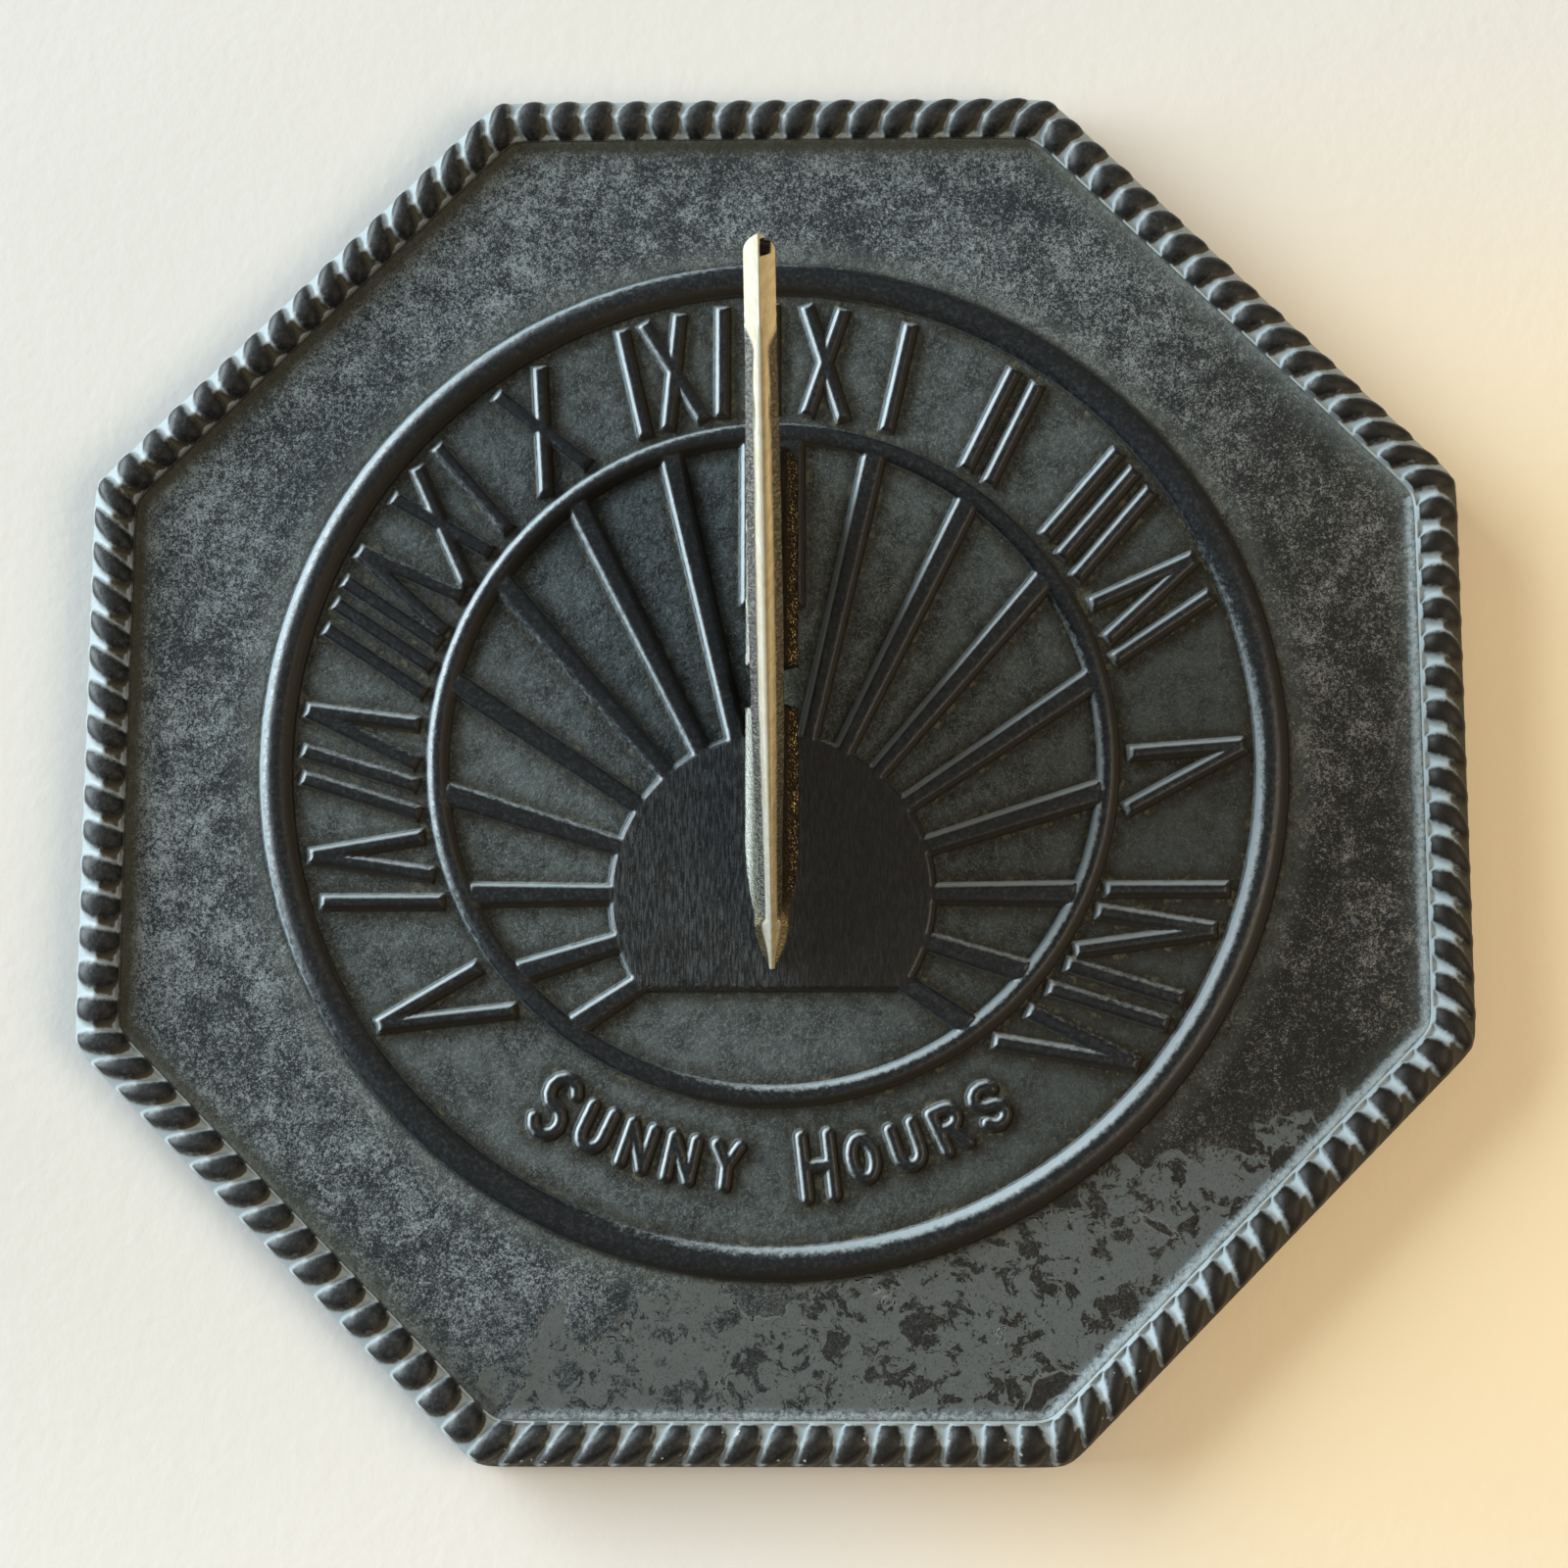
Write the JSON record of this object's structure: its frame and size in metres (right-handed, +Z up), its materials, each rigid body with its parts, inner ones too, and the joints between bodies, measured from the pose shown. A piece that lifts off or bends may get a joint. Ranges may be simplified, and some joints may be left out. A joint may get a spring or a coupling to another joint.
{
  "type": "garden sundial",
  "caption": "Octagonal cast iron horizontal sundial with a rope border, a raised sun with rays, Roman hour numerals and an upright brass gnomon.",
  "frame": {"origin": "centre of the dial plate's flat underside", "axes": "+Z up, out of the dial's face; +Y along the noon line, from the gnomon's toe to its tip; +X to the right of a reader who faces +Y"},
  "size_m": [0.254, 0.254, 0.0977],
  "materials": {
    "iron": "dark blue-black patina, satin on the raised parts",
    "brass": "cast, polished along the style edge",
    "steel": "zinc plated, dulled"
  },
  "bodies": {
    "root": {"dial_plate": "iron", "gnomon": "brass", "gnomon_screws": "steel", "screw_washers": "steel"}
  },
  "joints": []
}
